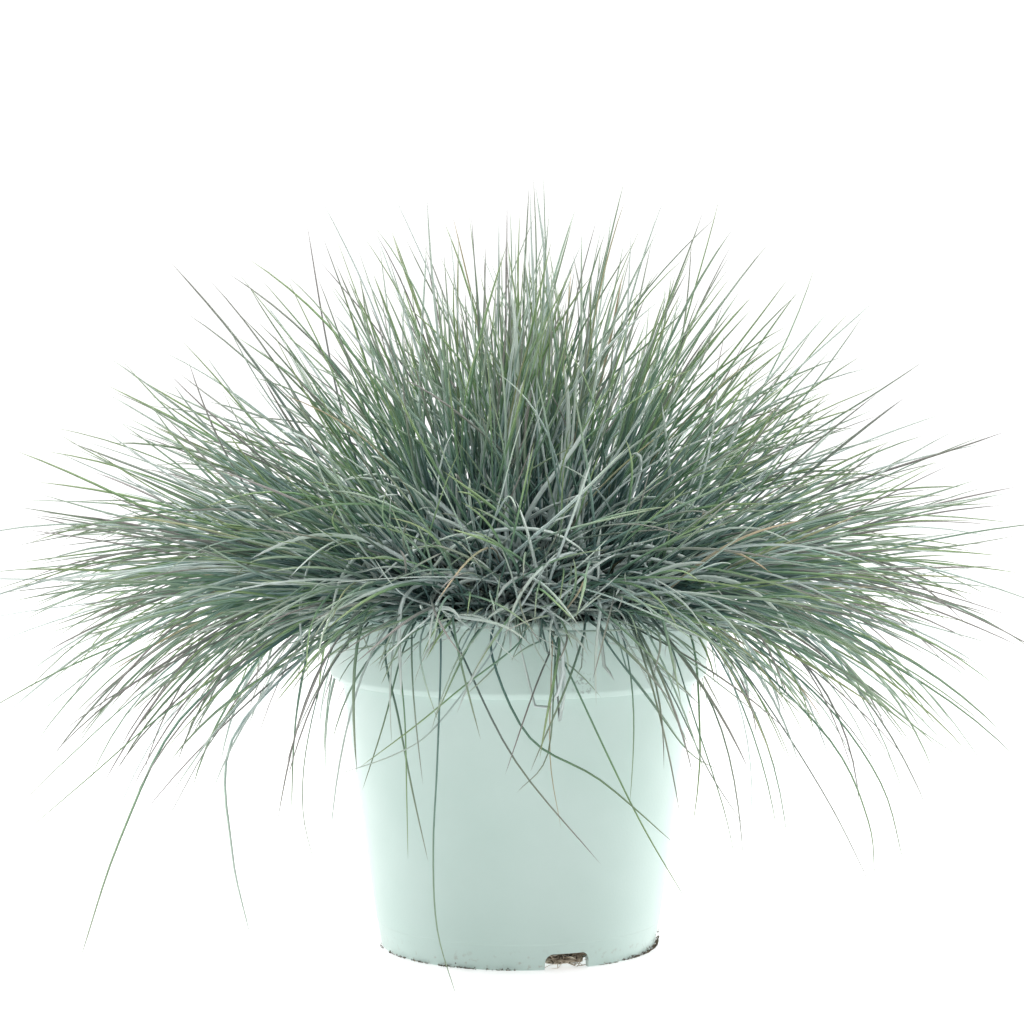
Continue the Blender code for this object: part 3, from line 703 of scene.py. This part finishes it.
chance = random.Random(5)
corners, edges, numbers, girths, rolls, tints = [], [], [], [], [], []
for number, (azimuth, girth, tint, *knots) in enumerate(HANGING_LEAVES):
    turn = math.radians(azimuth)
    out = Vector((math.cos(turn), math.sin(turn), 0))
    knots = [Vector(knot) for knot in knots]
    line = smooth_line([out * 0.040 + Vector((0, 0, 0.1440)), out * 0.0650 + Vector((0, 0, 0.1530)),
                        out * RIM_RADIUS + Vector((0, 0, POT_HEIGHT + 0.003)), *knots], 5)
    start = len(corners)
    corners += [tuple(point) for point in line]
    edges += [(start + i, start + i + 1) for i in range(len(line) - 1)]
    numbers += [number] * len(line)
    girths += [girth] * len(line)
    rolls += [chance.uniform(0, 6.28)] * len(line)
    tints += [tint] * len(line)


def path_mesh(name):
    """A mesh of the collected paths, with what the blade tree needs on every point."""
    paths = bpy.data.meshes.new(name)
    paths.from_pydata(corners, edges, [])
    for label, kind, values in (("leaf_number", "INT", numbers), ("girth", "FLOAT", girths),
                                ("roll", "FLOAT", rolls), ("tint", "FLOAT", tints)):
        paths.attributes.new(label, kind, "POINT").data.foreach_set("value", values)
    return paths


path_blades = path_blades_tree()
hanging = grown("hanging_leaves", path_mesh("hanging_leaves"), path_blades, {
    "Width": 0.0011, "Leaves": len(HANGING_LEAVES), "Material": blue_leaf})
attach(hanging, "root")
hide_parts(*[f"hanging_leaf_{index + 1:02d}" for index in range(10)])

# Crown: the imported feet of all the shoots, in old brown sheaths. The solid dome stays as its core, and short
# stubs of old leaves cover it.
leaf_sheath, tree, shader = new_material("leaf_sheath", 0.85)
fibres = noise_on_object(tree, 320, 4)
tree.links.new(mix_colours(tree, map_range(tree, fibres, 0.35, 0.65), hue("262a20"), hue("5a5a41")),
               shader.inputs["Base Color"])
add_bump(tree, shader, fibres, 0.7, 0.0015)
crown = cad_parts["crown"]
crown.data.materials.clear()
crown.data.materials.append(leaf_sheath)
stub_roots = tuft_roots("old_sheaths", [(azimuth + 9 * ring, lean, 8, 1.0, 0)
                                        for ring, lean in enumerate((4, 20, 38, 58, 78))
                                        for azimuth in range(0, 360, 18)])
stubs = grown("old_sheaths", stub_roots, grow_leaves, {
    "Leaves": 800, "Points per leaf": 5, "Length": 0.034, "Length spread": 0.6,
    "Lean spread": math.radians(50), "Heading spread": math.radians(50), "Droop": math.radians(20),
    "Droop spread": 1.0, "Side bend": math.radians(60), "Wave": 0.1, "Root spread": 0.014, "Width": 0.0018,
    "Rim allowance": -2.0, "Seed": 700, "Material": leaf_sheath})
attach(stubs, "root")

# Grains and crumbs: loose grains of compost lie on top of the soil, and crumbs of it cling to the foot of the
# pot and lie along it, most of them in a clump on the right.
def scatter_tree():
    """Sets a small rough clod on every point, scaled by the point's size attribute."""
    tree, given, output = new_tree("scatter_clods", (("Seed", "Int", 1), ("Material", "Material", None)))
    clod = add_node(tree, "GeometryNodeMeshIcoSphere", inputs={"Radius": 1.0, "Subdivisions": 1}).outputs["Mesh"]
    uneven = first_output(add_node(tree, "FunctionNodeRandomValue", {"data_type": "FLOAT_VECTOR"}, {
        "Min": (-0.3, -0.3, -0.3), "Max": (0.3, 0.3, 0.3), "Seed": given["Seed"]}))
    clod = add_node(tree, "GeometryNodeSetPosition", inputs={"Geometry": clod, "Offset": uneven}).outputs["Geometry"]
    turns = first_output(add_node(tree, "FunctionNodeRandomValue", {"data_type": "FLOAT_VECTOR"}, {
        "Min": (0, 0, 0), "Max": (6.28, 6.28, 6.28), "Seed": given["Seed"]}))
    stretch = first_output(add_node(tree, "FunctionNodeRandomValue", {"data_type": "FLOAT_VECTOR"}, {
        "Min": (0.6, 0.5, 0.5), "Max": (1.5, 1.0, 0.9), "Seed": calc(tree, "ADD", given["Seed"], 1.0)}))
    sizes = add_node(tree, "ShaderNodeVectorMath", {"operation": "SCALE"}, {0: stretch, "Scale": named(tree, "size")})
    clods = add_node(tree, "GeometryNodeInstanceOnPoints", inputs={
        "Points": given["Geometry"], "Instance": clod, "Rotation": turns, "Scale": sizes.outputs[0]})
    realized = add_node(tree, "GeometryNodeRealizeInstances", inputs={"Geometry": clods.outputs["Instances"]})
    painted = add_node(tree, "GeometryNodeSetMaterial", inputs={
        "Geometry": realized.outputs["Geometry"], "Material": given["Material"]})
    tree.links.new(painted.outputs["Geometry"], output.inputs["Geometry"])
    return tree


def points_with_sizes(name, points):
    """A mesh of points from (place, size) pairs."""
    mesh = bpy.data.meshes.new(name)
    mesh.from_pydata([place for place, _ in points], [], [])
    mesh.attributes.new("size", "FLOAT", "POINT").data.foreach_set("value", [size for _, size in points])
    return mesh


def on_ring(azimuth, radius, height):
    return (radius * math.cos(math.radians(azimuth)), radius * math.sin(math.radians(azimuth)), height)


scatter_clods = scatter_tree()
chance = random.Random(11)
grains = [(on_ring(chance.uniform(0, 360), math.sqrt(chance.uniform(0.036 ** 2, 0.0795 ** 2)), 0.1408),
           chance.uniform(0.0005, 0.0016)) for _ in range(1500)]
soil_grains = grown("soil_grains", points_with_sizes("soil_grains", grains), scatter_clods, {
    "Seed": 3, "Material": peat})
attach(soil_grains, "root")

crumbs = []
for first, last, count, top in ((-156, -142, 50, 0.0006), (-139, -129, 34, 0.0004), (-124, -107, 90, 0.0006), (-103, -91, 44, 0.0004),
                                (-56, -46, 30, 0.0004), (-44, -27, 80, 0.0008), (-28, -6, 200, 0.0011),
                                (-15, -2, 120, 0.0022), (-172, -162, 12, 0.0015), (24, 150, 90, 0.0006)):
    for _ in range(count):
        azimuth = chance.uniform(first, last)
        height = abs(chance.gauss(0, top))
        size = chance.uniform(0.00012, 0.00038)
        radius = FOOT_RADIUS + 0.0002 + height * 0.16 + chance.uniform(0, 0.0008)
        crumbs.append((on_ring(azimuth, radius, max(height, 1.6 * size)), size))
foot_crumbs = grown("foot_crumbs", points_with_sizes("foot_crumbs", crumbs), scatter_clods, {
    "Seed": 5, "Material": peat})
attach(foot_crumbs, "root")

# Root mat: the ends of the root ball show in the three notches, a felt of tan roots and peat that hangs a
# little below the pot's floor, with single roots that curl out of it.
root_fibre, tree, shader = new_material("root_fibre", 0.8)
places = add_node(tree, "ShaderNodeTexCoord").outputs["Object"]
tint = add_node(tree, "ShaderNodeAttribute", {"attribute_name": "tint"}).outputs["Fac"]
tree.links.new(mix_colours(tree, tint, hue("9c8a70"), hue("e0d8c8")), shader.inputs["Base Color"])


root_ball, tree, shader = new_material("root_ball", 0.9)
places = add_node(tree, "ShaderNodeTexCoord").outputs["Object"]
hollows = noise_on_object(tree, 330, 4, places)
felt = mix_colours(tree, map_range(tree, hollows, 0.42, 0.62), hue("6a5c4a"), hue("cbc2b0"))
# Painted shade: small near-black spots 2b241c stand in for the shade inside pits in the root felt. They follow their
# own noise, not the bump.
pit_shade = map_range(tree, noise_on_object(tree, 520, 2, places), 0.60, 0.66)
tree.links.new(mix_colours(tree, pit_shade, felt, hue("2b241c")), shader.inputs["Base Color"])
add_bump(tree, shader, hollows, 0.8, 0.001)


def root_lump(name, azimuth):
    """A rough lump of root ball behind one notch."""
    corners, faces = [], []
    rings, sides = 10, 20
    for ring in range(rings + 1):
        tilt = math.pi * ring / rings - math.pi / 2
        for side in range(1 if ring in (0, rings) else sides):
            turn = 2 * math.pi * side / sides
            along = 0.0088 * math.copysign(abs(math.cos(tilt) * math.cos(turn)) ** 0.7, math.cos(turn))
            outward = 0.0034 * math.copysign(abs(math.cos(tilt) * math.sin(turn)) ** 0.8, math.sin(turn))
            up = 0.0026 * math.copysign(abs(math.sin(tilt)) ** 0.7, math.sin(tilt))
            rough = 1 + 0.28 * noise.noise(Vector((along, outward, up)) * 420 + Vector((azimuth, 0, 0)))
            corners.append((0.0566 + outward * rough, along * rough, 0.0041 + up * rough))
    first = lambda ring: 0 if ring == 0 else 1 + (ring - 1) * sides
    for side in range(sides):
        after = (side + 1) % sides
        faces.append((0, first(1) + after, first(1) + side))
        for ring in range(1, rings - 1):
            faces.append((first(ring) + side, first(ring) + after, first(ring + 1) + after, first(ring + 1) + side))
        faces.append((first(rings - 1) + side, first(rings - 1) + after, len(corners) - 1))
    turn = math.radians(azimuth)
    corners = [(x * math.cos(turn) - y * math.sin(turn), x * math.sin(turn) + y * math.cos(turn), z)
               for x, y, z in corners]
    return corners, faces


lump_corners, lump_faces = [], []
for azimuth in (-70, 50, 170):
    corners, faces = root_lump("root_ball_ends", azimuth)
    lump_faces += [tuple(len(lump_corners) + i for i in face) for face in faces]
    lump_corners += corners
lumps = link_mesh("root_ball_ends", lump_corners, lump_faces)
lumps.data.shade_smooth()
lumps.data.materials.append(root_ball)
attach(lumps, "root")

corners, edges, numbers, girths, rolls, tints = [], [], [], [], [], []
number = 0
for azimuth in (-70, 50, 170):
    for _ in range(46):
        turn = math.radians(azimuth + chance.uniform(-8, 8))
        place = Vector((0.0598 * math.cos(turn), 0.0598 * math.sin(turn), chance.uniform(0.0020, 0.0064)))
        sideways = Vector((-math.sin(turn), math.cos(turn), 0))
        heading = sideways * chance.choice((-1, 1)) + Vector((0, 0, chance.uniform(-0.5, 0.5)))
        line = []
        for _ in range(9):
            line.append(place.copy())
            heading += Vector([chance.uniform(-0.7, 0.7) for _ in range(3)])
            place = place + heading.normalized() * 0.0011
            spread = math.hypot(place.x, place.y)
            kept = min(max(spread, 0.0585), 0.0612)
            place = Vector((place.x * kept / spread, place.y * kept / spread, min(max(place.z, 0.0006), 0.0066)))
        start = len(corners)
        corners += [tuple(point) for point in line]
        edges += [(start + i, start + i + 1) for i in range(len(line) - 1)]
        numbers += [number] * len(line)
        girths += [chance.uniform(0.5, 1.3)] * len(line)
        rolls += [0.0] * len(line)
        tints += [chance.random()] * len(line)
        number += 1
root_mat = grown("root_mat", path_mesh("root_mat"), path_blades, {
    "Width": 0.0005, "Leaves": number, "Material": root_fibre})
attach(root_mat, "root")
